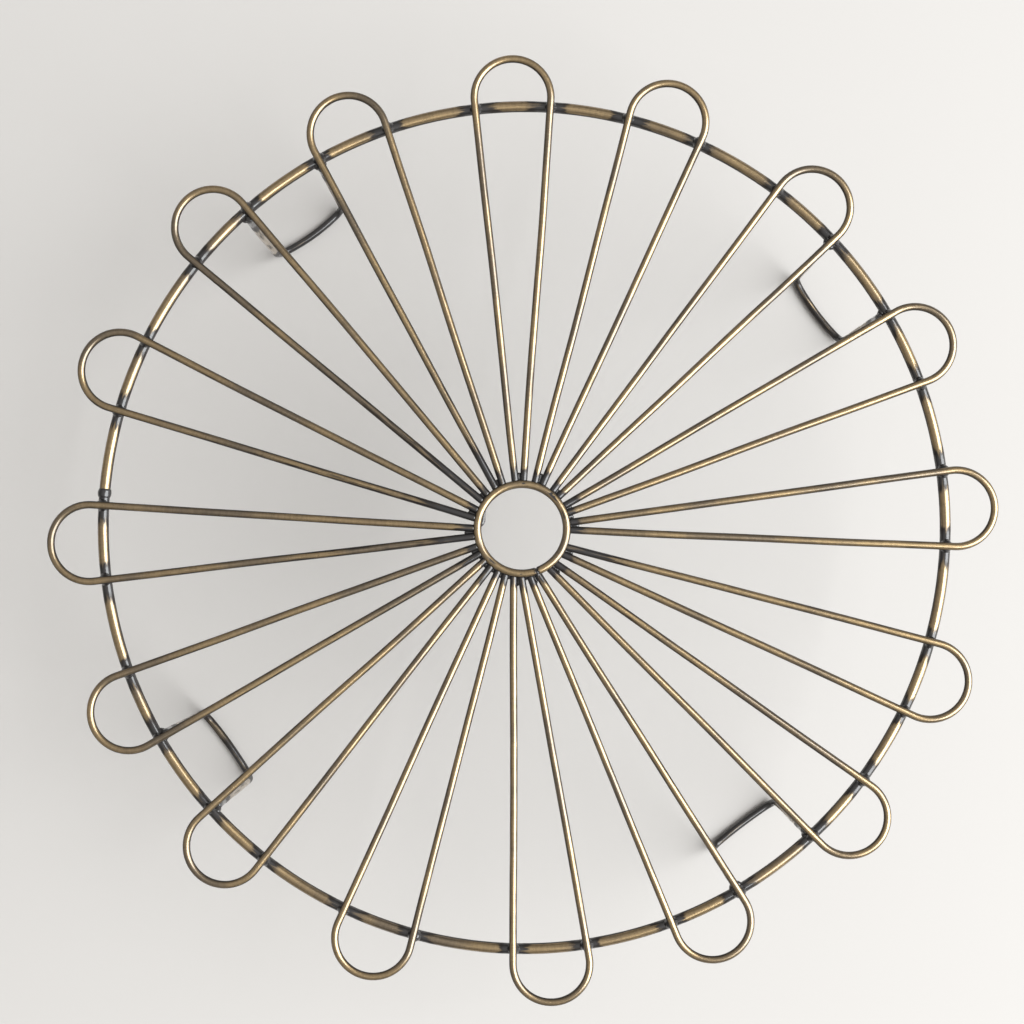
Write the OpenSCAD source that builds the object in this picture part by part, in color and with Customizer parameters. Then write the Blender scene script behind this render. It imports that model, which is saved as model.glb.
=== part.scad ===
// A round raised stand of brazed wire, shaped like a flower: sixteen hairpin petals run
// from a small hub ring, over a thicker rim ring, and four U-shaped legs carry the rim.
// Origin on the floor under the middle of the rim ring, +Z up. Millimetres.

/* [Overall] */
// Width across the petal tips, outside to outside
overall_d = 305; // [303:1:320]
// Height from the floor to the top of the hub ring
stand_h = 76; // [50:1:120]

/* [Rim ring] */
// Diameter along the centre of the wire
rim_d = 271; // [264:1:273]
// Thickness of the wire
rim_wire = 3.5; // [3:0.1:4]

/* [Hub ring] */
// Diameter along the centre of the wire
hub_d = 28.6; // [28.6:0.1:36]
// Thickness of the wire
hub_wire = 2.6; // [2.5:0.1:3]
// Width of the gap where the ring's two ends meet
hub_gap = 0.6; // [0.3:0.1:1.2]
// Height of the ring's middle above the petals'
hub_rise = 0.7; // [0:0.1:1]

/* [Petals] */
// Thickness of the wire
petal_wire = 2.4; // [1.8:0.1:2.4]
// Width at the round end, along the centre of the wire
petal_w = 24.6; // [18:0.2:26]
// Half the angle between a petal's two wires at the hub ring
root_half = 4.85; // [4.8:0.05:5]
// How far the flower sits off the middle of the rim
flower_shift = 1.2; // [0:0.1:1.5]

/* [Legs] */
// Thickness of the wire
leg_wire = 2.6; // [2.4:0.1:3]
// Distance between the two posts of a leg, along the centre of the wire
leg_w = 28.5; // [20:0.5:29]
// Radius of the two bends at the foot, along the centre of the wire
leg_bend = 4.2; // [2:0.2:8]

/* [Brazing] */
// Depth that two wires are set into each other where they are joined
bite = 0.2; // [0.1:0.05:0.3]
// Radius of the bead where a petal crosses the rim
rim_bead = 2.2; // [2:0.1:2.4]
// Radius of the bead where a leg meets the rim
leg_bead = 2.4; // [2.1:0.1:2.8]
// How far the brazing reaches out from the hub ring, between the petal wires
hub_web = 1; // [0.5:0.1:1.5]

/* [Hidden] */
$fn = 64;
ring_fn = 240;
brass = "#8f7748";
dark = "#35302a";

petal_count = 16;
petal_step = 360 / petal_count;
// The petals are set by hand, so each one leans a little from even spacing. Degrees
// round the axis, one value a petal, at the round end and at the hub ring.
tip_lean = [0.25, 0.25, 0.75, 0.75, -0.75, -0.75, -1.25, -1,
            -0.25, 0.25, -0.5, 0, 1.25, 0.75, 1, -0.5];
root_lean = [1, -1, -1, 0, 1, 4, 3, 3, 2, 1, -2, -5, -8, -11, -8, -7];
flower_shift_a = 248;
// Where the hub ring was set, off the middle of the rim
hub_at = [-0.7, -0.4, 0];

// Each leg stands in the gap after one of these petals, a little off its middle. Its foot
// bows towards the hub, leaving each post at this angle.
leg_gap = [1, 5, 9, 13];
leg_lean = [0.25, 0.5, 0, -0.25];
leg_bow = [7, 8, 4, 3];

hub_z = stand_h - hub_wire / 2;
petal_z = hub_z - hub_rise;
rim_z = petal_z - petal_wire / 2 - rim_wire / 2 + bite;
tip_r = petal_w / 2;
root_reach = hub_d / 2 + 0.6;
web_h = 1.6;
hub_gap_a = 287;
rim_weld_a = 173;
rim_weld_l = 2.6;
rim_weld_wall = 0.4;
post_r = rim_d / 2 - rim_wire / 2 - leg_wire / 2 + bite;
post_x = sqrt(pow(post_r, 2) - pow(leg_w / 2, 2));
post_top = rim_z + 1;
bar_z = leg_wire / 2;

leg_bead_top = rim_bead - rim_wire / 2 + 0.1;
leg_bead_h = 1.8;

// A tight bend is this much fatter than the straight wire, which runs this far into it
swell = 0.02;
lap = 0.2;

function two_digits(n) = n < 10 ? str("0", n) : str(n);
PETALS = [for (i = [1 : petal_count]) str("petal_", two_digits(i))];
LEGS = ["leg_back_right", "leg_back_left", "leg_front_left", "leg_front_right"];

function polar(r, a) = [r * cos(a), r * sin(a), 0];

// A petal: where its round end is centred, where a wire starts, and that wire's line.
// side is 1 for the wire that is further round counter-clockwise, and -1 for the other.
function tip_a(i) = i * petal_step + tip_lean[i];
function reach(i) = (overall_d - petal_wire) / 2 + flower_shift * cos(tip_a(i) - flower_shift_a);
function tip_centre(i) = polar(reach(i) - tip_r, tip_a(i));
function root(i, side) =
    hub_at + polar(root_reach, i * petal_step + root_lean[i] + side * root_half);
function to_tip(i, side) = tip_centre(i) - root(i, side);
function heading(i, side) =
    let (d = to_tip(i, side), a = i * petal_step, off = atan2(cross(polar(1, a), d).z, polar(1, a) * d))
    a + off + side * asin(tip_r / norm(d));
function straight_l(i, side) = sqrt(pow(norm(to_tip(i, side)), 2) - pow(tip_r, 2));

// The point where a petal wire crosses the rim ring
function crossing(i, side) =
    let (p = root(i, side), u = polar(1, heading(i, side)), b = p * u)
    p + u * (sqrt(b * b + pow(rim_d / 2, 2) - p * p) - b);

// A leg: the middle of it, and the point where a post touches the rim ring
function leg_a(n) = (tip_a(leg_gap[n]) + tip_a(leg_gap[n] + 1)) / 2 + leg_lean[n];
function post_a(n, side) = leg_a(n) + side * asin(leg_w / 2 / post_r);

module bent_wire(d, r, angle) {
    rotate_extrude(angle = angle, $fn = ring_fn) translate([r, 0]) circle(d = d, $fn = 64);
}

module petal_straight(i, side) {
    translate(root(i, side) + [0, 0, petal_z])
        rotate([0, 90, heading(i, side)])
            cylinder(d = petal_wire, h = straight_l(i, side) + lap);
}

// The line of a petal wire where it passes over the rim ring, to cut a bead with
module petal_line(i, side) {
    translate(crossing(i, side) + [0, 0, petal_z])
        rotate([0, 90, heading(i, side)])
            cylinder(d = petal_wire + swell, h = 4 * rim_bead, center = true);
}

module petal_tip(i) {
    translate(tip_centre(i) + [0, 0, petal_z])
        rotate(heading(i, -1) - 90)
            bent_wire(petal_wire + swell, tip_r, 180 + heading(i, 1) - heading(i, -1));
}

module hairpin(i) {
    petal_straight(i, -1);
    petal_tip(i);
    petal_straight(i, 1);
}

module whole_rim() {
    translate([0, 0, rim_z]) bent_wire(rim_wire, rim_d / 2, 360);
}

module hub_ring() {
    open = hub_gap / (hub_d / 2) * 180 / PI;
    color(brass)
        translate(hub_at + [0, 0, hub_z])
            rotate(hub_gap_a + open / 2) bent_wire(hub_wire, hub_d / 2, 360 - open);
}

module rim_ring() {
    color(brass) whole_rim();
}

// The bead that closes the rim ring, proud of the wire all round
module rim_weld() {
    sweep = rim_weld_l / (rim_d / 2) * 180 / PI;
    color(dark)
        translate([0, 0, rim_z])
            rotate(rim_weld_a - sweep / 2)
                rotate_extrude(angle = sweep, $fn = ring_fn)
                    translate([rim_d / 2, 0])
                        difference() {
                            circle(d = rim_wire + 2 * rim_weld_wall);
                            circle(d = rim_wire);
                        }
}

// One length of wire bent into a hairpin. Its underside is let into the rim ring, and its
// two ends are let into the underside of the hub ring.
module petal(i) {
    color(brass)
        difference() {
            hairpin(i);
            whole_rim();
            translate(hub_at + [0, 0, hub_z]) bent_wire(hub_wire, hub_d / 2, 360);
        }
}

module leg_wires(n) {
    bow = leg_bow[n];
    bar_r = (leg_w / 2 - leg_bend * cos(bow)) / sin(bow);
    bar_lap = lap / bar_r * 180 / PI;
    rotate(leg_a(n)) {
        for (side = [-1, 1])
            translate([post_x, side * leg_w / 2, bar_z + leg_bend]) {
                translate([0, 0, -lap])
                    cylinder(d = leg_wire, h = post_top - bar_z - leg_bend + lap);
                rotate(180 + side * (90 - bow))
                    translate([leg_bend, 0, 0])
                        rotate([90, 0, 0]) rotate(180) bent_wire(leg_wire + swell, leg_bend, 90);
            }
        translate([post_x - leg_bend * sin(bow) + bar_r * cos(bow), 0, bar_z])
            rotate(180 - bow - bar_lap) bent_wire(leg_wire, bar_r, 2 * (bow + bar_lap));
    }
}

// One length of wire bent into a U, with both posts let into the inside of the rim ring
module leg(n) {
    color(brass)
        difference() {
            leg_wires(n);
            whole_rim();
        }
}

// Filler metal between the petal wires, where they butt against the hub ring
module hub_brazing() {
    first = root_lean[0];
    last = (petal_count - 1) * petal_step + root_lean[petal_count - 1];
    web_r = root_reach + 0.3;
    web_l = (hub_d + hub_wire) / 2 + hub_web - web_r;
    color(dark)
        difference() {
            translate(hub_at + [0, 0, petal_z - web_h / 2])
                rotate(first - root_half)
                    rotate_extrude(angle = last - first + 2 * root_half, $fn = ring_fn)
                        translate([web_r, 0]) square([web_l, web_h]);
            translate(hub_at + [0, 0, hub_z]) bent_wire(hub_wire, hub_d / 2, 360);
            for (i = [0 : petal_count - 1], side = [-1, 1]) petal_straight(i, side);
        }
}

// A short stretch of the rim ring's wire about the angle a, to cut a bead with
module rim_stretch(a) {
    translate([0, 0, rim_z]) rotate(a - 3) bent_wire(rim_wire, rim_d / 2, 6);
}

module rim_bead_ball(i, side) {
    translate(crossing(i, side) + [0, 0, rim_z + rim_wire / 2]) sphere(r = rim_bead);
}

// Filler metal round each place where a petal crosses the rim ring
module rim_brazing() {
    color(dark)
        for (i = [0 : petal_count - 1], side = [-1, 1])
            difference() {
                rim_bead_ball(i, side);
                rim_stretch(tip_a(i) + side * 5);
                petal_line(i, side);
            }
}

// Filler metal in the corners between each post and the rim ring, below the rim's beads
module leg_brazing() {
    color(dark)
        for (n = [0 : len(LEGS) - 1], side = [-1, 1]) {
            a = post_a(n, side);
            difference() {
                translate(polar(post_r + leg_wire / 2, a) + [0, 0, rim_z - leg_bead_top])
                    rotate([180, 0, 0]) cylinder(r = leg_bead, h = leg_bead_h);
                rim_stretch(a);
                translate(polar(post_r, a) + [0, 0, rim_z - 10])
                    cylinder(d = leg_wire, h = 20);
            }
        }
}

hub_ring();
rim_ring();
rim_weld();
for (i = [0 : petal_count - 1])
    petal(i);
for (n = [0 : len(LEGS) - 1])
    leg(n);
hub_brazing();
rim_brazing();
leg_brazing();
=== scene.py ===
import math
import random

import bmesh
import bpy
from mathutils import Matrix, Vector, noise


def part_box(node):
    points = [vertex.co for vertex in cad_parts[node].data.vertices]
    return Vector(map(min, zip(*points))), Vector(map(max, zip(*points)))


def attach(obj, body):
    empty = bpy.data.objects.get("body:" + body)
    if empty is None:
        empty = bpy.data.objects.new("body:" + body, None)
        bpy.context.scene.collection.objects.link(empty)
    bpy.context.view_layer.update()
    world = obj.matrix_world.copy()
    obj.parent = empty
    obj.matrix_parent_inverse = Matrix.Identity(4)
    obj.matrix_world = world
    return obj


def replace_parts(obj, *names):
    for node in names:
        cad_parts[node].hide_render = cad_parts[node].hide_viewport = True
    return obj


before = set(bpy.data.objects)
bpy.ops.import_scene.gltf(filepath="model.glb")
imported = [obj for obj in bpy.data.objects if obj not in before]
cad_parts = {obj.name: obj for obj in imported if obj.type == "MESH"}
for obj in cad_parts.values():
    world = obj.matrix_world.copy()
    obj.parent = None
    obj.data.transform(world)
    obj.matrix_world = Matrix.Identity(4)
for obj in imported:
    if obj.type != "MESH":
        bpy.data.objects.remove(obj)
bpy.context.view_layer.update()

mm = 0.001


# Hub ring
# A short length of steel wire rolled to a ring, plated in brass, darkened and rubbed back.
# Its two ends butt together and are only closed by the brazing round them.

hub_low, hub_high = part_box("hub_ring")
hub_middle = (hub_low + hub_high) / 2
hub_wire = hub_high.z - hub_low.z
hub_r = (hub_high.y - hub_low.y - hub_wire) / 2
hub_gap = 0.6 * mm
hub_gap_turn = math.radians(287)
hub_slice = 0.3 * mm
# Nicks in the top of the ring: where they are in degrees, then in mm how far out from the
# middle of the wire, how long, and how deep
hub_nicks = [(86, 0.2, 0.5, 0.12), (196, -0.35, 1.5, 0.1), (224, -0.1, 1.9, 0.14),
             (43, 0.3, 0.4, 0.05), (228, 0.45, 0.5, 0.1), (330, -0.3, 0.5, 0.05)]
nick_w = 0.18 * mm
# How dark the ring was left away from its gap, and how much darker a nick is for its depth
hub_dark = -0.1
hub_gap_dark_l = 2 * mm
nick_dark = 8
hub_trim = 0.25 * mm
# How often a wire that was straightened by hand strays, in bends a metre, and how far from
# where it was held it is free to
waver_bends = 22
waver_free = 60 * mm
wire_sides = 28
up = Vector((0, 0, 1))


def round_the_axis(radius, turn, height=0.0):
    """The point at that distance from the middle, that many radians round, at that height."""
    return Vector((radius * math.cos(turn), radius * math.sin(turn), height))


def round_the_hub(radius, turn, rise=0.0):
    return hub_middle + round_the_axis(radius, turn, rise)


class Wire:
    """A round wire that grows slice by slice as it is fed forward and bent.

    Each vertex keeps its place on the straight wire in "run", and in "dark" how much of the
    dark plating the rubbing has left there, below 0 where it was rubbed hard. calm is a
    length at which it doesn't stray.
    """

    def __init__(self, thick, at, heading, step, waver=0.0, calm=0.0, seed=0.0):
        self.bm = bmesh.new()
        self.run = self.bm.verts.layers.float_vector.new("run")
        self.dark = self.bm.verts.layers.float.new("dark")
        self.at, self.heading, self.step = at.copy(), heading.normalized(), step
        self.length, self.waver, self.calm, self.seed = 0.0, waver, calm, seed
        aside = up if abs(self.heading.z) < 0.9 else Vector((1, 0, 0))
        across = self.heading.cross(aside).normalized()
        beyond = self.heading.cross(across)
        place = Matrix((across, beyond, self.heading)).transposed().to_4x4()
        place.translation = at + self.drift()
        made = bmesh.ops.create_circle(
            self.bm, cap_ends=True, radius=thick / 2, segments=wire_sides, matrix=place
        )
        for vert in made["verts"]:
            side = vert.co - place.translation
            vert[self.run] = Vector((side.dot(across), side.dot(beyond), seed))
        self.end = list(self.bm.edges)

    def drift(self):
        """How far the wire has strayed sideways, because it was straightened by hand."""
        if not self.waver:
            return Vector()
        side = noise.noise_vector(Vector((self.length * waver_bends, self.seed, 0.5)))
        free = min(1, abs(self.length - self.calm) / waver_free)
        return Vector((side.x, side.y, side.z * 0.3)) * self.waver * free

    def grow(self, move, length):
        before = self.drift()
        self.length += length
        made = bmesh.ops.extrude_edge_only(self.bm, edges=self.end)["geom"]
        verts = [part for part in made if isinstance(part, bmesh.types.BMVert)]
        fresh = set(verts)
        bmesh.ops.transform(
            self.bm, matrix=Matrix.Translation(self.drift() - before) @ move, verts=verts
        )
        for vert in verts:
            run = vert[self.run]
            vert[self.run] = Vector((run.x, run.y, self.seed + self.length))
        edges = [part for part in made if isinstance(part, bmesh.types.BMEdge)]
        self.end = [edge for edge in edges if fresh.issuperset(edge.verts)]

    def feed(self, length):
        steps = max(1, round(length / self.step))
        move = self.heading * (length / steps)
        for _ in range(steps):
            self.grow(Matrix.Translation(move), move.length)
        self.at += self.heading * length

    def bend(self, toward, radius, angle):
        """Bends the wire by that angle round a former of that radius, on the side of toward."""
        steps = max(2, round(angle * radius / self.step))
        centre = self.at + toward.normalized() * radius
        turn = Matrix.Rotation(angle / steps, 4, self.heading.cross(toward))
        move = Matrix.Translation(centre) @ turn @ Matrix.Translation(-centre)
        for _ in range(steps):
            self.grow(move, angle * radius / steps)
            self.at = move @ self.at
            self.heading = turn @ self.heading

    def finish(self, name, body="root", slot="antique_brass", trim=0.0):
        """Closes the far end, rounds both cut edges by trim, and makes the piece."""
        bmesh.ops.contextual_create(self.bm, geom=self.end)
        caps = [face for face in self.bm.faces if len(face.verts) > 4]
        if trim:
            rims = [edge for face in caps for edge in face.edges]
            bmesh.ops.bevel(
                self.bm, geom=rims, offset=trim, segments=2, profile=0.5, affect="EDGES",
                material=-1,
            )
        bmesh.ops.recalc_face_normals(self.bm, faces=self.bm.faces)
        return make_piece(name, self.bm, antique_brass, body)


def make_piece(name, bm, material, body="root"):
    mesh = bpy.data.meshes.new(name)
    bm.to_mesh(mesh)
    bm.free()
    mesh.shade_smooth()
    mesh.materials.append(material)
    piece = bpy.data.objects.new(name, mesh)
    bpy.context.scene.collection.objects.link(piece)
    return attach(piece, body)


def put(tree, kind, inputs=(), **settings):
    """Adds a node. inputs gives its sockets values, or links them to other nodes' outputs."""
    made = tree.nodes.new(kind)
    for name, value in settings.items():
        setattr(made, name, value)
    for key, value in dict(inputs).items():
        socket = made.inputs[key]
        if isinstance(value, bpy.types.NodeSocket):
            tree.links.new(value, socket)
        else:
            socket.default_value = value
    return made


def sums(tree, operation, *values, clamp=False):
    made = put(tree, "ShaderNodeMath", enumerate(values), operation=operation, use_clamp=clamp)
    return made.outputs[0]


def fade(tree, value, low, high, to_low=0.0, to_high=1.0):
    inputs = {
        "Value": value, "From Min": low, "From Max": high, "To Min": to_low, "To Max": to_high,
    }
    return put(tree, "ShaderNodeMapRange", inputs, interpolation_type="SMOOTHSTEP").outputs[0]


def blend_colours(tree, share, first, second, way="MIX"):
    made = put(tree, "ShaderNodeMix", data_type="RGBA", blend_type=way)
    for socket, value in ((0, share), (6, first), (7, second)):
        if isinstance(value, bpy.types.NodeSocket):
            tree.links.new(value, made.inputs[socket])
        else:
            made.inputs[socket].default_value = value
    return made.outputs[2]


def grain(tree, place, scale, detail=2.0, stretch=(1, 1, 1)):
    """Fractal noise from 0 to 1 that is finer where scale is greater, drawn out by stretch."""
    drawn = put(tree, "ShaderNodeMapping", {"Vector": place, "Scale": stretch})
    inputs = {"Vector": drawn.outputs[0], "Scale": scale, "Detail": detail, "Roughness": 0.55}
    return put(tree, "ShaderNodeTexNoise", inputs).outputs["Fac"]


def antique_plating():
    """Brass plate, darkened in a bath and rubbed bright again wherever the cloth reached; its
    brass tops and dark flanks and undersides are partly that wear, partly painted shade.
    """
    group = bpy.data.node_groups.new("antique_plating", "ShaderNodeTree")
    face = group.interface
    for name, kind, start in (
        ("Run", "NodeSocketVector", None),
        ("Dark", "NodeSocketFloat", 0.0),
        ("Brass", "NodeSocketColor", (0.375, 0.265, 0.135, 1)),
        ("Dull brass", "NodeSocketColor", (0.205, 0.155, 0.1, 1)),
        ("Patina", "NodeSocketColor", (0.022, 0.017, 0.014, 1)),
        ("Heat patina", "NodeSocketColor", (0.016, 0.014, 0.014, 1)),
    ):
        socket = face.new_socket(name=name, in_out="INPUT", socket_type=kind)
        if start is not None:
            socket.default_value = start
    face.new_socket(name="Colour", in_out="OUTPUT", socket_type="NodeSocketColor")
    for name in ("Roughness", "Metal", "Lacquer", "Height"):
        face.new_socket(name=name, in_out="OUTPUT", socket_type="NodeSocketFloat")
    given = put(group, "NodeGroupInput").outputs
    space = put(group, "ShaderNodeTexCoord").outputs["Object"]
    normal = put(group, "ShaderNodeNewGeometry").outputs["Normal"]
    facing_up = put(group, "ShaderNodeSeparateXYZ", {0: normal}).outputs["Z"]

    streak = grain(group, given["Run"], 1300, 3, (1, 1, 0.07))
    hairline = grain(group, given["Run"], 5200, 2, (1, 1, 0.02))
    chatter = grain(group, given["Run"], 900, 2, (0.5, 0.5, 1.6))
    mottle = grain(group, space, 75, 3)
    dullness = grain(group, space, 38, 2)
    speck = grain(group, space, 2600, 2)

    left_dark = sums(group, "MULTIPLY", given["Dark"], fade(group, streak, 0.36, 0.64, 1.35, 0.55))
    # Upward-facing surfaces get brass and flanks and undersides get dark patina: partly rubbed
    # wear, partly painted shade on the flanks and painted light on the tops.
    reach = sums(group, "MULTIPLY_ADD", facing_up, 0.75, 0.22)
    reach = sums(group, "MULTIPLY_ADD", left_dark, -0.9, reach)
    reach = sums(group, "MULTIPLY_ADD", streak, 0.5, reach)
    reach = sums(group, "MULTIPLY_ADD", mottle, 0.35, reach)
    reach = sums(group, "MULTIPLY_ADD", hairline, 0.4, reach)
    rubbed_and_top_lit = fade(group, reach, 1.16, 1.52)
    heated = fade(group, sums(group, "MULTIPLY_ADD", chatter, 0.4, given["Dark"]), 0.45, 0.85)

    tarnish = fade(group, sums(group, "MULTIPLY_ADD", given["Dark"], 0.35, dullness), 0.44, 0.66)
    brass = blend_colours(group, tarnish, given["Brass"], given["Dull brass"])
    tone = fade(group, sums(group, "MULTIPLY_ADD", chatter, 0.6, hairline), 0.45, 1.15, 0.7, 1.15)
    tint = put(group, "ShaderNodeCombineColor", {0: tone, 1: tone, 2: tone}).outputs[0]
    brass = blend_colours(group, 1.0, brass, tint, "MULTIPLY")
    patina = blend_colours(group, heated, given["Patina"], given["Heat patina"])
    # Patina on the flanks and undersides, brass on the tops: partly wear, partly painted shade.
    colour = blend_colours(group, rubbed_and_top_lit, patina, brass)
    pits = fade(group, speck, 0.64, 0.72)
    colour = blend_colours(group, sums(group, "MULTIPLY", pits, 0.6), colour, given["Patina"])

    rough = sums(group, "MULTIPLY_ADD", rubbed_and_top_lit, -0.16, 0.43)
    rough = sums(group, "MULTIPLY_ADD", hairline, 0.1, rough)
    metal = sums(group, "MULTIPLY_ADD", rubbed_and_top_lit, 0.4, 0.6)
    glossy = sums(group, "MAXIMUM", rubbed_and_top_lit, heated)
    lacquer = sums(group, "MULTIPLY_ADD", glossy, 0.75, 0.2)
    lacquer = sums(group, "MULTIPLY_ADD", pits, -0.3, lacquer, clamp=True)
    height = sums(group, "MULTIPLY_ADD", pits, -0.8, sums(group, "MULTIPLY", hairline, 0.5))
    height = sums(group, "MULTIPLY_ADD", streak, 0.5, height)
    put(group, "NodeGroupOutput", {
        "Colour": colour, "Roughness": rough, "Metal": metal, "Lacquer": lacquer, "Height": height,
    })
    return group


def plated(name, run, dark, **colours):
    """A material in the antique finish, under a thin clear lacquer."""
    material = bpy.data.materials.new(name)
    material.use_nodes = True
    tree = material.node_tree
    tree.nodes.clear()
    if run == "run":
        run = put(tree, "ShaderNodeAttribute", attribute_name="run").outputs["Vector"]
    else:
        run = put(tree, "ShaderNodeTexCoord").outputs["Object"]
    if isinstance(dark, str):
        dark = put(tree, "ShaderNodeAttribute", attribute_name=dark).outputs["Fac"]
    inputs = {"Run": run, "Dark": dark}
    inputs.update({key.replace("_", " "): value for key, value in colours.items()})
    finish = put(tree, "ShaderNodeGroup", node_tree=plating)
    for key, value in inputs.items():
        if isinstance(value, bpy.types.NodeSocket):
            tree.links.new(value, finish.inputs[key])
        else:
            finish.inputs[key].default_value = value
    bump = put(tree, "ShaderNodeBump", {
        "Height": finish.outputs["Height"], "Strength": 0.5, "Distance": 0.05 * mm,
    })
    shader = put(tree, "ShaderNodeBsdfPrincipled", {
        "Base Color": finish.outputs["Colour"],
        "Roughness": finish.outputs["Roughness"],
        "Metallic": finish.outputs["Metal"],
        "Normal": bump.outputs[0],
        "Coat Weight": finish.outputs["Lacquer"],
        "Coat Roughness": 0.12,
        "Coat IOR": 1.6,
    })
    put(tree, "ShaderNodeOutputMaterial", {"Surface": shader.outputs[0]})
    return material


plating = antique_plating()
antique_brass = plated("antique_brass", "run", "dark")

hub_open = hub_gap / hub_r
hub = Wire(
    hub_wire, round_the_hub(hub_r, hub_gap_turn + hub_open / 2),
    round_the_axis(1, hub_gap_turn + hub_open / 2 + math.pi / 2), hub_slice,
)
hub.bend(hub_middle - hub.at, hub_r, 2 * math.pi - hub_open)
for vert in hub.bm.verts:
    from_gap = (vert.co - round_the_hub(hub_r, hub_gap_turn)).length
    vert[hub.dark] = max(hub_dark, 1 - from_gap / hub_gap_dark_l)
    if vert.co.z < hub_middle.z:
        continue
    for degrees, out, long, deep in hub_nicks:
        nick = round_the_hub(hub_r + out * mm, math.radians(degrees))
        along = (vert.co - nick).dot(round_the_axis(1, math.radians(degrees + 90))) / (long * mm)
        across = ((vert.co - hub_middle).xy.length - hub_r - out * mm) / nick_w
        depth = math.exp(-along * along - across * across)
        vert.co.z -= deep * mm * depth
        vert[hub.dark] = max(vert[hub.dark], nick_dark * deep * depth)
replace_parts(hub.finish("hub_ring_wire", trim=hub_trim), "hub_ring")


# Petals
# Sixteen lengths of the thinnest wire, each bent double round a former, so that its round
# end stands out past the rim. Both ends butt against the side of the hub ring.

petal_low, petal_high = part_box("petal_01")
petal_wire = petal_high.z - petal_low.z
flower_z = (petal_high.z + petal_low.z) / 2
petal_count = 16
petal_w = 24.6 * mm
tip_r = petal_w / 2
flower_r = 152.5 * mm
flower_shift = 1.2 * mm
flower_shift_turn = math.radians(248)
root_half = 4.85
root_reach = hub_r + 0.6 * mm
petal_slice = 1.1 * mm
petal_waver = 0.3 * mm
# How far each petal was set from even spacing, in degrees, at its round end and at the hub
tip_lean = [0.25, 0.25, 0.75, 0.75, -0.75, -0.75, -1.25, -1,
            -0.25, 0.25, -0.5, 0, 1.25, 0.75, 1, -0.5]
root_lean = [1, -1, -1, 0, 1, 4, 3, 3, 2, 1, -2, -5, -8, -11, -8, -7]
# How far out from the hub the flame blackened each petal's right wire, and its left one, in mm
burnt_right = [4, 2, 2, 4, 3, 4, 3, 3, 5, 3, 2, 3, 3, 3, 3, 3]
burnt_left = [3, 4, 3, 3, 4, 12, 17, 13, 11, 7, 6, 3, 4, 3, 3, 15]
burnt_most = 0.72
# How much darker each petal's left wire was left than its right one, fading out to grey_l
left_grey = [0, 0.06, 0, 0, 0.04, 0.1, 0.2, 0.22, 0.16, 0.06, 0, 0, 0, 0, 0.08, 0.03]
grey_l = 100 * mm


def petal_turn(index):
    return math.radians(index * 360 / petal_count + tip_lean[index])


def tip_centre(index):
    turn = petal_turn(index)
    reach = flower_r - petal_wire / 2 + flower_shift * math.cos(turn - flower_shift_turn)
    return round_the_axis(reach - tip_r, turn, flower_z)


def petal_root(index, side):
    degrees = index * 360 / petal_count + root_lean[index] + side * root_half
    return round_the_hub(root_reach, math.radians(degrees), flower_z - hub_middle.z)


def petal_heading(index, side):
    """Which way a petal's wire leaves the hub, in radians. side is 1 for its left wire, or -1."""
    across = tip_centre(index) - petal_root(index, side)
    even = 2 * math.pi * index / petal_count
    off = across.xy.angle_signed(round_the_axis(1, even).xy)
    return even + off + side * math.asin(tip_r / across.length)


def petal(index):
    right, left = petal_heading(index, -1), petal_heading(index, 1)
    run = math.sqrt((tip_centre(index) - petal_root(index, -1)).length ** 2 - tip_r**2)
    back = math.sqrt((tip_centre(index) - petal_root(index, 1)).length ** 2 - tip_r**2)
    halfway = run + tip_r * (math.pi + left - right) / 2
    wire = Wire(
        petal_wire, petal_root(index, -1), round_the_axis(1, right), petal_slice,
        waver=petal_waver, calm=halfway, seed=index * 0.7,
    )
    wire.feed(run)
    wire.bend(round_the_axis(1, right + math.pi / 2), tip_r, math.pi + left - right)
    wire.feed(back)
    for vert in wire.bm.verts:
        out = (vert.co - hub_middle).xy.length - hub_r - hub_wire / 2
        on_left = vert[wire.run].z - wire.seed > halfway
        burnt = burnt_left[index] if on_left else burnt_right[index]
        grey = (left_grey[index] if on_left else 0) * max(0, min(1, 1.3 - out / grey_l))
        vert[wire.dark] = max(0, min(burnt_most, 1.05 - 0.75 * out / mm / burnt)) + grey
    return wire.finish(f"petal_{index + 1:02d}_wire")


for index in range(petal_count):
    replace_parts(petal(index), f"petal_{index + 1:02d}")


# Rim ring
# One length of the thickest wire, rolled to a ring and butted, laid across the undersides
# of the petals. It stayed dark beside each petal, where the cloth couldn't rub it.

rim_low, rim_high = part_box("rim_ring")
rim_wire = rim_high.z - rim_low.z
rim_r = (rim_high.x - rim_low.x - rim_wire) / 2
rim_z = (rim_high.z + rim_low.z) / 2
rim_slice = 1.1 * mm
rim_gap = 0.3 * mm
rim_weld_turn = math.radians(173)
rim_dark_w = 1.8 * mm
rim_dark_fade = 4.5 * mm
rim_least_dark = -0.1


def crossing(index, side):
    """Where a petal's wire passes over the rim ring, at the ring's height."""
    start, ahead = petal_root(index, side), round_the_axis(1, petal_heading(index, side))
    start.z = 0
    along = start.dot(ahead)
    reach = math.sqrt(along * along + rim_r * rim_r - start.length_squared) - along
    return start + ahead * reach + Vector((0, 0, rim_z))


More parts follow.
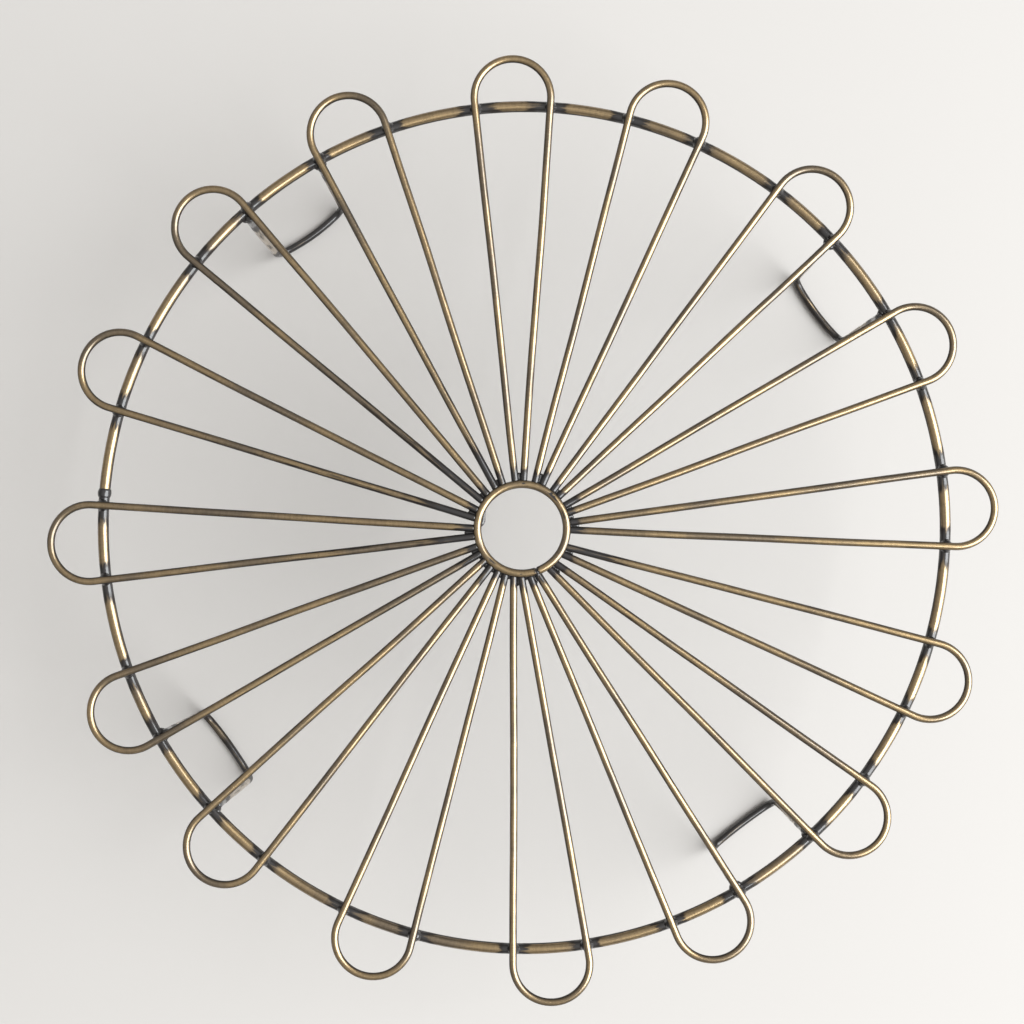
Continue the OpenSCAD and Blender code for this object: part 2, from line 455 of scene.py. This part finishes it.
crossings = [crossing(index, side) for index in range(petal_count) for side in (-1, 1)]
rim_open = rim_gap / rim_r
rim = Wire(
    rim_wire, round_the_axis(rim_r, rim_weld_turn + rim_open / 2, rim_z),
    round_the_axis(1, rim_weld_turn + rim_open / 2 + math.pi / 2), rim_slice,
)
rim.bend(-rim.at * Vector((1, 1, 0)), rim_r, 2 * math.pi - rim_open)
for vert in rim.bm.verts:
    nearest = min((vert.co.xy - place.xy).length for place in crossings)
    spread = rim_dark_fade * (1 + 0.8 * noise.noise(vert.co * 60))
    vert[rim.dark] = max(rim_least_dark, min(1, 1 - (nearest - rim_dark_w) / spread))
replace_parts(rim.finish("rim_ring_wire"), "rim_ring")


# Rim weld
# The bead that joins the rim ring's two ends, run all round the wire and left unfiled.

weld_low, weld_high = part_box("rim_weld")
weld_l = weld_high.y - weld_low.y
weld_out = (weld_high.z - weld_low.z - rim_wire) / 2
weld_slices = 12
weld_slim = 0.3 * mm

braze_metal = plated(
    "braze_metal", "space", 0.9,
    Brass=(0.12, 0.1, 0.075, 1), Dull_brass=(0.08, 0.07, 0.058, 1),
)

half_turn = weld_l / 2 / rim_r
weld = Wire(
    rim_wire - weld_slim, round_the_axis(rim_r, rim_weld_turn - half_turn, rim_z),
    round_the_axis(1, rim_weld_turn - half_turn + math.pi / 2), weld_l / weld_slices,
)
weld.bend(-weld.at * Vector((1, 1, 0)), rim_r, 2 * half_turn)
for vert in weld.bm.verts:
    on_wire = round_the_axis(rim_r, math.atan2(vert.co.y, vert.co.x), rim_z)
    off = (math.atan2(vert.co.y, vert.co.x) - rim_weld_turn) / half_turn
    swell = weld_out + weld_slim / 2
    swell *= math.sqrt(max(0, 1 - off * off)) * (1 + 0.25 * noise.noise(vert.co * 900))
    vert.co += (vert.co - on_wire).normalized() * swell
bmesh.ops.contextual_create(weld.bm, geom=weld.end)
bmesh.ops.recalc_face_normals(weld.bm, faces=weld.bm.faces)
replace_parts(make_piece("rim_weld_bead", weld.bm, braze_metal), "rim_weld")


# Legs
# Four lengths of wire, each bent to a U. The foot between its two posts bows in towards the
# hub, and the posts stand against the inside of the rim ring.

# The petal before each leg's gap, then in degrees how far off the gap's middle it stands and
# how far its foot bows, then how dark the right and left ends of the foot were left
legs = {"leg_back_right": (1, 0.25, 7, 0.5, 0.3), "leg_back_left": (5, 0.5, 8, 0.6, 0.6),
        "leg_front_left": (9, 0, 4, 0.2, 0.65), "leg_front_right": (13, -0.25, 3, 0.6, 0.65)}
leg_wire = 2.6 * mm
leg_w = 28.5 * mm
leg_bend = 4.2 * mm
leg_slice = 0.9 * mm
leg_waver = 0.3 * mm
leg_bite = 0.2 * mm
leg_trim = 0.2 * mm
# Below 0, because the posts stand upright and were rubbed all round. Their tops were burnt
# for a length, which then fades.
post_dark = -0.7
post_rub_fade = 9 * mm
post_burnt_l = 3 * mm
post_burnt_fade = 9 * mm
leg_mottle = 0.3
post_r = rim_r - rim_wire / 2 - leg_wire / 2 + leg_bite
post_top = rim_z + 1 * mm
foot_z = leg_wire / 2


def leg_turn(name):
    """Which way from the axis a leg stands, in radians."""
    gap, lean = legs[name][:2]
    return (petal_turn(gap) + petal_turn(gap + 1)) / 2 + math.radians(lean)


def leg_post(name, side):
    return round_the_axis(post_r, leg_turn(name) + side * math.asin(leg_w / 2 / post_r), post_top)


def leg(name):
    gap, _, bow_degrees, right_dark, left_dark = legs[name]
    bow = math.radians(bow_degrees)
    outward = round_the_axis(1, leg_turn(name))
    left = round_the_axis(1, leg_turn(name) + math.pi / 2)
    bar_r = (leg_w / 2 - leg_bend * math.cos(bow)) / math.sin(bow)
    wire = Wire(leg_wire, leg_post(name, -1), -up, leg_slice, waver=leg_waver, seed=gap * 1.3)
    wire.feed(post_top - foot_z - leg_bend)
    toward = left * math.cos(bow) - outward * math.sin(bow)
    wire.bend(toward, leg_bend, math.pi / 2)
    wire.bend(left * math.sin(bow) + outward * math.cos(bow), bar_r, 2 * bow)
    wire.bend(up, leg_bend, math.pi / 2)
    wire.feed(post_top - foot_z - leg_bend)
    for vert in wire.bm.verts:
        below = post_top - vert.co.z
        across = max(0, min(1, 0.5 + left.dot(vert.co) / leg_w))
        foot_dark = right_dark + (left_dark - right_dark) * across
        on_post = max(0, min(1, (vert.co.z - leg_bend) / post_rub_fade))
        unrubbed = foot_dark + (post_dark - foot_dark) * on_post
        unrubbed += leg_mottle * noise.noise(vert.co * 80)
        vert[wire.dark] = max(unrubbed, min(1, 1 - (below - post_burnt_l) / post_burnt_fade))
        vert.co.z = max(vert.co.z, 0)
    return wire.finish(name + "_wire", trim=leg_trim)


for name in legs:
    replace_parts(leg(name), name)


# Rim brazing
# Filler metal run in at each of the thirty-two places where a petal wire crosses the rim.
# It wets both wires and draws a hollow fillet into the corners between them.

braze_voxel = 0.27 * mm
# How much thinner than the wires the rods inside their fillets are, so that no skin shows
slim = 0.3 * mm
fillet_l = 8 * mm
fillet_rounds = 16
crossing_drop = (1.8, 2.2)
random_place = random.Random(5)


def rod(bm, middle, heading, length, thick):
    """A short straight stretch of wire, for filler metal to run round."""
    turned = heading.to_track_quat("Z", "Y").to_matrix().to_4x4()
    bmesh.ops.create_cone(
        bm, cap_ends=True, segments=20, radius1=thick / 2, radius2=thick / 2, depth=length,
        matrix=Matrix.Translation(middle) @ turned,
    )


def drop(bm, middle, radius, flat=1.0):
    """A drop of filler metal, before it runs."""
    place = Matrix.Translation(middle) @ Matrix.Diagonal((1, 1, flat, 1))
    bmesh.ops.create_icosphere(bm, subdivisions=3, radius=radius, matrix=place)


def run_together(name, bm, rounds, voxel=braze_voxel):
    """Makes one skin of the rods and drops, and draws it tight so that the corners fill."""
    mesh = bpy.data.meshes.new(name)
    bm.to_mesh(mesh)
    bm.free()
    rough = bpy.data.objects.new(name + "_rough", mesh)
    bpy.context.scene.collection.objects.link(rough)
    skin = rough.modifiers.new("skin", "REMESH")
    skin.mode = "VOXEL"
    skin.voxel_size = voxel
    tighten = rough.modifiers.new("tighten", "SMOOTH")
    tighten.factor = 0.5
    tighten.iterations = rounds
    graph = bpy.context.evaluated_depsgraph_get()
    tight = bpy.data.meshes.new_from_object(rough.evaluated_get(graph))
    bpy.data.objects.remove(rough)
    made = bmesh.new()
    made.from_mesh(tight)
    bpy.data.meshes.remove(tight)
    return make_piece(name, made, braze_metal)


fillets = bmesh.new()
for index in range(petal_count):
    for side in (-1, 1):
        place = crossing(index, side)
        ahead = round_the_axis(1, petal_heading(index, side))
        round_rim = up.cross(place * Vector((1, 1, 0))).normalized()
        above = Vector((place.x, place.y, flower_z))
        rod(fillets, place, round_rim, fillet_l, rim_wire - slim)
        rod(fillets, above, ahead, fillet_l, petal_wire - slim)
        jog = Vector([random_place.uniform(-0.3, 0.3) * mm for _ in "xy"] + [0])
        on_top = place + jog + up * (rim_wire / 2 - 0.2 * mm)
        drop(fillets, on_top, random_place.uniform(*crossing_drop) * mm, 0.75)
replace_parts(run_together("rim_brazing_fillets", fillets, fillet_rounds), "rim_brazing")


# Hub brazing
# Filler metal between the ends of the petals, where they butt against the hub ring, and in
# the ring's own seam. One drop has run through to the inside of the ring.

hub_voxel = 0.2 * mm
hub_rounds = 6
ring_steps = 120
root_fillet_l = 5 * mm
# The filler fills the corners between wires whose ends are closer than web_room. It runs
# out further, in mm, between the two wires of one petal than between two petals.
web_room = 3 * mm
web_drop_r = 0.85 * mm
web_sag = 0.6 * mm
web_inside = (1.6, 3.2)
web_between = (0.8, 1.4)
spill_from, spill_sweep = 153, 20
spill_steps = 14
hub_fillets = bmesh.new()
for step in range(ring_steps):
    turn = 2 * math.pi * step / ring_steps
    rod(hub_fillets, round_the_hub(hub_r + 0.1 * mm, turn, -0.5 * mm),
        round_the_axis(1, turn + math.pi / 2), 1.1 * mm, hub_wire - slim)
ends = []
for index in range(petal_count):
    for side in (-1, 1):
        root = petal_root(index, side)
        ahead = round_the_axis(1, petal_heading(index, side))
        middle = root + ahead * root_fillet_l / 2
        rod(hub_fillets, middle, ahead, root_fillet_l, petal_wire - slim)
        ends.append(root)
for number, root in enumerate(ends):
    after = ends[(number + 1) % len(ends)]
    if (after - root).length < web_room:
        middle = (root + after) / 2 - up * web_sag
        out = (middle - hub_middle).xy.to_3d().normalized()
        run_out = random_place.uniform(*(web_inside if number % 2 == 0 else web_between))
        for share in (0.25, 0.5, 0.75, 1):
            drop(hub_fillets, middle + out * run_out * share * mm, web_drop_r, 0.8)
drop(hub_fillets, round_the_hub(hub_r + 0.3 * mm, hub_gap_turn, -0.1 * mm), 1.1 * mm)
drop(hub_fillets, round_the_hub(hub_r + 1.5 * mm, hub_gap_turn, -0.3 * mm), 0.9 * mm)
for step in range(spill_steps + 1):
    share = step / spill_steps
    turn = math.radians(spill_from + spill_sweep * share)
    size = (0.45 + 0.65 * math.sin(math.pi * share ** 1.6)) * mm
    drop(hub_fillets, round_the_hub(hub_r - 1.2 * mm, turn, -0.3 * mm), size, 0.6)
hub_webs = run_together("hub_brazing_fillets", hub_fillets, hub_rounds, hub_voxel)
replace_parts(hub_webs, "hub_brazing")


# Leg brazing
# Filler metal where each post stands against the inside of the rim ring. There is more of
# it here than at the petals, because these joints carry the weight.

leg_rounds = 18
leg_rim_fillet_l = 10 * mm
leg_post_fillet_l = 8 * mm
leg_drop = (1.0, 1.2)
leg_fillets = bmesh.new()
for name in legs:
    for side in (-1, 1):
        post = leg_post(name, side)
        inward = -post.xy.to_3d().normalized()
        on_rim = -inward * rim_r + up * rim_z
        round_rim = up.cross(on_rim * Vector((1, 1, 0))).normalized()
        rod(leg_fillets, on_rim, round_rim, leg_rim_fillet_l, rim_wire - slim)
        rod(leg_fillets, post - up * 3 * mm, up, leg_post_fillet_l, leg_wire - slim)
        for away in (-1, 1):
            corner = post + round_rim * away * 1.1 * mm - inward * 1.0 * mm
            drop(leg_fillets, corner - up * 0.8 * mm, random_place.uniform(*leg_drop) * mm)
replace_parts(run_together("leg_brazing_fillets", leg_fillets, leg_rounds), "leg_brazing")


# Stage
# A plain pale floor under plain soft light: a tall window on the right, and the room's ceiling.

floor_colour = (0.49, 0.47, 0.45, 1)
room_colour = (1.0, 0.98, 0.95, 1)
room_at_floor, room_overhead = 0.18, 0.62
window_turn = math.radians(-14)
window_out, window_up, window_w = 1.8, 1.64, 2.6
eye_up = 590.7 * mm

bpy.context.scene.view_settings.view_transform = "Standard"
floor_mesh = bpy.data.meshes.new("floor")
floor_bm = bmesh.new()
bmesh.ops.create_grid(floor_bm, x_segments=1, y_segments=1, size=4)
floor_bm.to_mesh(floor_mesh)
floor_bm.free()
floor = bpy.data.objects.new("floor", floor_mesh)
bpy.context.scene.collection.objects.link(floor)
floor_paint = bpy.data.materials.new("floor_paint")
floor_paint.use_nodes = True
floor_shader = floor_paint.node_tree.nodes["Principled BSDF"]
floor_shader.inputs["Base Color"].default_value = floor_colour
floor_shader.inputs["Roughness"].default_value = 0.9
floor_mesh.materials.append(floor_paint)

room = bpy.data.worlds.new("room")
room.use_nodes = True
room_tree = room.node_tree
direction = put(room_tree, "ShaderNodeTexCoord").outputs["Generated"]
height = put(room_tree, "ShaderNodeSeparateXYZ", {0: direction}).outputs["Z"]
background = room_tree.nodes["Background"]
background.inputs["Color"].default_value = room_colour
brightness = fade(room_tree, height, 0.0, 1.0, room_at_floor, room_overhead)
room_tree.links.new(brightness, background.inputs["Strength"])
bpy.context.scene.world = room

window_light = bpy.data.lights.new("window", "AREA")
window_light.shape = "RECTANGLE"
window_light.size, window_light.size_y = window_w, window_w
window_light.energy = 155
window_light.color = (0.95, 0.98, 1.0)
window = bpy.data.objects.new("window", window_light)
window.location = round_the_axis(window_out, window_turn, window_up)
window.rotation_euler = (-window.location).to_track_quat("-Z", "Y").to_euler()
window.visible_camera = False
bpy.context.scene.collection.objects.link(window)

eye = bpy.data.cameras.new("eye")
eye.sensor_width = 36
eye.lens = 64.9
eye.shift_x, eye.shift_y = -0.0114, 0.0396
eye.clip_start, eye.clip_end = 0.01, 20
camera = bpy.data.objects.new("eye", eye)
camera.location = (-0.5 * mm, -8 * mm, hub_middle.z + eye_up)
camera.rotation_euler = (0, 0, math.radians(-2.3))
bpy.context.scene.collection.objects.link(camera)
bpy.context.scene.camera = camera
